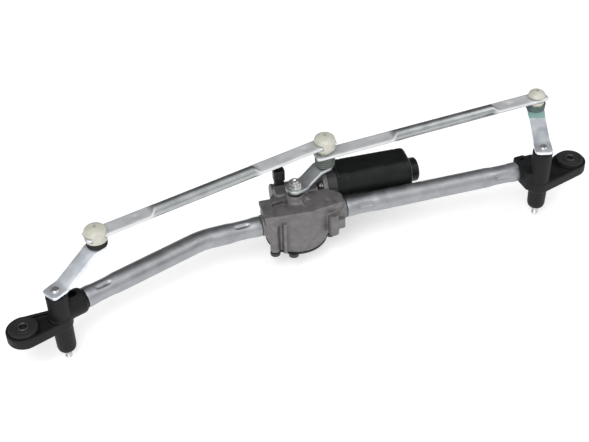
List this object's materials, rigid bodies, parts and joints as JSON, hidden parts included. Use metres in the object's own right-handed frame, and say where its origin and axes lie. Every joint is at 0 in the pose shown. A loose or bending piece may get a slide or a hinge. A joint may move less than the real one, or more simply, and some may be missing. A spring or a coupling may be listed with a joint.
{
  "type": "windshield wiper assembly",
  "caption": "Windshield wiper linkage: gear motor with a crank, ball-jointed rods and levers, on a tube frame with a spindle housing and a mounting lug at each end.",
  "frame": {"origin": "middle of the bounding box, at the height of the left spindle's threaded tip", "axes": "+X from the left spindle to the right one, +Y from the tubes towards the motor, +Z along the spindles, from their threaded tips to the crank side"},
  "size_m": [0.7442, 0.1431, 0.1605],
  "materials": {
    "tube_steel": "bright zinc-plated steel tube with faint drawing lines",
    "rod_steel": "zinc-plated steel tube, pressed flat at the ends",
    "lever_zinc": "bluish bright zinc plate on stamped steel",
    "sleeve_zinc": "zinc-plated steel",
    "bright_steel": "machined or cold-headed steel",
    "die_casting": "as-cast aluminium alloy, warm mid-grey, slightly rough",
    "black_plastic": "glass-filled black plastic",
    "housing_black": "satin black coated casting",
    "motor_black": "satin black painted drawn steel",
    "rubber": "black moulded rubber",
    "ivory_plastic": "ivory acetal with a soft gloss",
    "gear_plastic": "natural acetal",
    "bronze": "oil-filled sintered bronze",
    "copper": "copper",
    "carbon": "pressed carbon",
    "ferrite": "sintered ferrite",
    "iron": "laminated electrical steel"
  },
  "bodies": {
    "frame": {"left_tube": "tube_steel", "right_tube": "tube_steel", "gearbox_housing": "die_casting", "gearbox_cover": "black_plastic", "cover_gasket": "rubber", "connector_tower": "black_plastic", "terminal_1": "copper", "terminal_2": "copper", "cover_screw_1": "bright_steel", "cover_screw_2": "bright_steel", "cover_screw_3": "bright_steel", "motor_screw_1": "bright_steel", "motor_screw_2": "bright_steel", "motor_yoke": "motor_black", "magnet_front": "ferrite", "magnet_rear": "ferrite", "brush_holder": "black_plastic", "brush_front": "carbon", "brush_rear": "carbon", "front_bearing": "bronze", "rear_bearing": "bronze", "output_bush": "bronze", "shaft_seal": "rubber", "left_pivot_housing": "housing_black", "right_pivot_housing": "housing_black", "left_upper_bush": "bronze", "left_lower_bush": "bronze", "right_upper_bush": "bronze", "right_lower_bush": "bronze", "left_grommet": "rubber", "right_grommet": "rubber", "left_sleeve": "sleeve_zinc", "right_sleeve": "sleeve_zinc"},
    "armature": {"armature_shaft": "bright_steel", "armature_core": "iron", "winding_front": "copper", "winding_rear": "copper", "commutator": "copper"},
    "crank": {"worm_wheel": "gear_plastic", "output_shaft": "bright_steel", "crank_arm": "lever_zinc", "crank_nut": "bright_steel", "crank_ball_stud": "bright_steel"},
    "left_link": {"left_rod": "rod_steel", "left_inner_socket": "ivory_plastic", "left_outer_socket": "ivory_plastic", "left_ball_stud": "bright_steel", "left_boot": "rubber"},
    "right_link": {"right_rod": "rod_steel", "right_inner_socket": "ivory_plastic", "right_outer_socket": "ivory_plastic", "right_ball_stud": "bright_steel", "right_boot": "rubber", "crank_boot": "rubber"},
    "left_rocker": {"left_lever": "lever_zinc", "left_spindle": "bright_steel", "left_circlip": "bright_steel"},
    "right_rocker": {"right_lever": "lever_zinc", "right_spindle": "bright_steel", "right_circlip": "bright_steel"}
  },
  "joints": [
    {"name": "crank_spin", "type": "hinge", "parent": "frame", "child": "crank", "pos_m": [-0.0047, 0.0154, 0.067], "axis": [0, 0, 1], "range_deg": [0, 180]},
    {"name": "armature_spin", "type": "hinge", "parent": "frame", "child": "armature", "pos_m": [-0.00056, 0.04814, 0.071], "axis": [0.9921, -0.1253, 0], "range_deg": [-5, 7930]},
    {"name": "left_link_pivot", "type": "hinge", "parent": "crank", "child": "left_link", "pos_m": [0.03857, 0.02619, 0.1425], "axis": [0, 0, 1], "range_deg": [-191, 1]},
    {"name": "right_link_pivot", "type": "hinge", "parent": "crank", "child": "right_link", "pos_m": [0.03857, 0.02619, 0.1255], "axis": [0, 0, 1], "range_deg": [-183, 1]},
    {"name": "left_spindle_turn", "type": "hinge", "parent": "frame", "child": "left_rocker", "pos_m": [-0.3097, -0.0466, 0.067], "axis": [0, 0, 1], "range_deg": [-1, 92]},
    {"name": "right_spindle_turn", "type": "hinge", "parent": "frame", "child": "right_rocker", "pos_m": [0.2963, -0.0466, 0.067], "axis": [0, 0, 1], "range_deg": [-1, 82]}
  ],
  "couplings": [
    {"joint": "armature_spin", "follows": "crank_spin", "ratio": 44},
    {"joint": "left_link_pivot", "follows": "crank_spin", "ratio": -1.0522},
    {"joint": "right_link_pivot", "follows": "crank_spin", "ratio": -1.0078},
    {"joint": "left_spindle_turn", "follows": "crank_spin", "ratio": 0.50016},
    {"joint": "right_spindle_turn", "follows": "crank_spin", "ratio": 0.44422}
  ]
}
